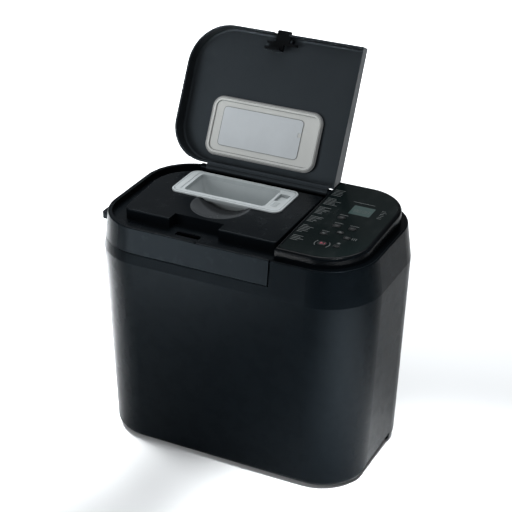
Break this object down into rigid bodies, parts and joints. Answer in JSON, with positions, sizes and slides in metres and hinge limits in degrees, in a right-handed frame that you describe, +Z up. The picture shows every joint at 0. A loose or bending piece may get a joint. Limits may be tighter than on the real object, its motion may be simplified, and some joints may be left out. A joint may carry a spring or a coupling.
{
  "type": "bread machine",
  "caption": "Upright bread machine with a hinged lid over a removable pan, a raised ingredient cover above a dispenser box, a side control panel and a belt-driven kneading blade.",
  "frame": {"origin": "floor level under the middle of the whole object's footprint, feet on z = 0, cover raised", "axes": "+Z up, front faces -Y, control panel on the +X side"},
  "size_m": [0.4075, 0.3184, 0.5227],
  "materials": {
    "body_plastic": "satin",
    "base_plastic": "matt",
    "foot_rubber": "matt",
    "belt_rubber": "matt",
    "screw_steel": "zinc plated",
    "chamber_steel": "aluminised",
    "element_steel": "heat darkened",
    "cast_aluminium": "cast",
    "pan_coating": "non-stick",
    "bronze": "sintered",
    "shaft_steel": "ground",
    "pulley_plastic": "moulded",
    "lamination_steel": "stacked",
    "copper_wire": "enamelled",
    "capacitor_can": "satin",
    "board": "lacquered",
    "panel_gloss": "gloss",
    "lcd_glass": "clear",
    "key_plastic": "satin",
    "start_key": "satin",
    "bright_sheet": "rolled",
    "seal_silicone": "matt",
    "tray_plastic": "satin",
    "plate_plastic": "satin",
    "solenoid_metal": "plated"
  },
  "bodies": {
    "machine": {"casing": "body_plastic", "base_plate": "base_plastic", "rubber_feet": "foot_rubber", "body_screws": "screw_steel", "chamber_deck": "base_plastic", "baking_chamber": "chamber_steel", "heating_element": "element_steel", "heater_supports": "chamber_steel", "temperature_sensor": "element_steel", "pan_socket": "cast_aluminium", "bread_pan": "pan_coating", "pan_bush": "bronze", "chassis": "chamber_steel", "bearing_housing": "base_plastic", "bearing_bushes": "bronze", "drive_belt": "belt_rubber", "motor_stator": "lamination_steel", "motor_windings": "copper_wire", "motor_brackets": "chamber_steel", "motor_capacitor": "capacitor_can", "heat_shield": "chamber_steel", "power_board": "board", "cord_gland": "foot_rubber", "panel_housing": "body_plastic", "panel_film": "panel_gloss", "lcd_window": "lcd_glass", "control_board": "board", "lid_hinge_pins": "screw_steel"},
    "lid": {"lid_shell": "body_plastic", "lid_under_frame": "base_plastic", "lid_liner": "bright_sheet", "lid_seal": "seal_silicone", "lid_screws": "screw_steel", "dispenser_tray": "tray_plastic", "solenoid": "solenoid_metal", "cover_and_flap_pins": "screw_steel"},
    "cover": {"cover_shell": "body_plastic", "cover_pad": "tray_plastic", "pad_plate": "plate_plastic", "pad_gasket": "seal_silicone", "latch_pin": "screw_steel"},
    "latch": {"cover_latch": "body_plastic"},
    "flap": {"dispenser_flap": "tray_plastic"},
    "catch": {"dispenser_catch": "tray_plastic"},
    "plunger": {"solenoid_plunger": "solenoid_metal"},
    "handle": {"pan_handle": "shaft_steel"},
    "blade": {"pan_shaft": "shaft_steel", "kneading_blade": "pan_coating"},
    "drive": {"drive_shaft": "shaft_steel", "large_pulley": "pulley_plastic"},
    "rotor": {"motor_rotor": "shaft_steel", "motor_pulley": "pulley_plastic"},
    "button_menu": {"button_menu": "key_plastic"},
    "button_crust": {"button_crust": "key_plastic"},
    "button_size": {"button_size": "key_plastic"},
    "button_timer_down": {"button_timer_down": "key_plastic"},
    "button_timer_up": {"button_timer_up": "key_plastic"},
    "button_light": {"button_light": "key_plastic"},
    "button_start": {"button_start": "start_key"},
    "button_keep_warm": {"button_keep_warm": "key_plastic"}
  },
  "joints": [
    {"name": "lid_hinge", "type": "hinge", "parent": "machine", "child": "lid", "pos_m": [-0.04204, 0.08177, 0.331], "axis": [-1, 0, 0], "range_deg": [0, 80]},
    {"name": "cover_hinge", "type": "hinge", "parent": "lid", "child": "cover", "pos_m": [-0.02905, 0.05697, 0.3379], "axis": [-1, 0, 0], "range_deg": [-117.5, 0]},
    {"name": "latch_swing", "type": "hinge", "parent": "cover", "child": "latch", "pos_m": [-0.04854, 0.14939, 0.50873], "axis": [-1, 0, 0], "range_deg": [0, 8], "stiffness_Nm_per_rad": 0.05, "springref_deg": -20.05},
    {"name": "flap_hinge", "type": "hinge", "parent": "lid", "child": "flap", "pos_m": [-0.05004, 0.02527, 0.3055], "axis": [1, 0, 0], "range_deg": [0, 75], "stiffness_Nm_per_rad": 0.03, "springref_deg": -34.38},
    {"name": "catch_slide", "type": "slide", "parent": "lid", "child": "catch", "axis": [0, 1, 0], "range_m": [0, 0.004], "stiffness_N_per_m": 200, "springref_m": -0.001},
    {"name": "plunger_slide", "type": "slide", "parent": "lid", "child": "plunger", "axis": [1, 0, 0], "range_m": [0, 0.004], "stiffness_N_per_m": 200, "springref_m": -0.002},
    {"name": "handle_swing", "type": "hinge", "parent": "machine", "child": "handle", "pos_m": [-0.05205, -0.04023, 0.216], "axis": [-1, 0, 0], "range_deg": [0, 180]},
    {"name": "drive_spin", "type": "hinge", "parent": "machine", "child": "drive", "pos_m": [-0.05205, -0.04023, 0.06], "axis": [0, 0, 1], "continuous": true},
    {"name": "blade_spin", "type": "hinge", "parent": "machine", "child": "blade", "pos_m": [-0.05205, -0.04023, 0.1], "axis": [0, 0, 1], "continuous": true},
    {"name": "rotor_spin", "type": "hinge", "parent": "machine", "child": "rotor", "pos_m": [0.12195, -0.04023, 0.08], "axis": [0, 0, 1], "continuous": true},
    {"name": "button_menu_press", "type": "slide", "parent": "machine", "child": "button_menu", "axis": [0, 0.035, -0.9994], "range_m": [0, 0.0008], "stiffness_N_per_m": 300, "springref_m": -0.0005},
    {"name": "button_crust_press", "type": "slide", "parent": "machine", "child": "button_crust", "axis": [0, 0.035, -0.9994], "range_m": [0, 0.0008], "stiffness_N_per_m": 300, "springref_m": -0.0005},
    {"name": "button_size_press", "type": "slide", "parent": "machine", "child": "button_size", "axis": [0, 0.035, -0.9994], "range_m": [0, 0.0008], "stiffness_N_per_m": 300, "springref_m": -0.0005},
    {"name": "button_timer_down_press", "type": "slide", "parent": "machine", "child": "button_timer_down", "axis": [0, 0.035, -0.9994], "range_m": [0, 0.0008], "stiffness_N_per_m": 300, "springref_m": -0.0005},
    {"name": "button_timer_up_press", "type": "slide", "parent": "machine", "child": "button_timer_up", "axis": [0, 0.035, -0.9994], "range_m": [0, 0.0008], "stiffness_N_per_m": 300, "springref_m": -0.0005},
    {"name": "button_light_press", "type": "slide", "parent": "machine", "child": "button_light", "axis": [0, 0.035, -0.9994], "range_m": [0, 0.0008], "stiffness_N_per_m": 300, "springref_m": -0.0005},
    {"name": "button_start_press", "type": "slide", "parent": "machine", "child": "button_start", "axis": [0, 0.035, -0.9994], "range_m": [0, 0.0008], "stiffness_N_per_m": 300, "springref_m": -0.0005},
    {"name": "button_keep_warm_press", "type": "slide", "parent": "machine", "child": "button_keep_warm", "axis": [0, 0.035, -0.9994], "range_m": [0, 0.0008], "stiffness_N_per_m": 300, "springref_m": -0.0005}
  ],
  "couplings": [
    {"joint": "blade_spin", "follows": "drive_spin", "ratio": 1},
    {"joint": "rotor_spin", "follows": "drive_spin", "ratio": 5}
  ]
}
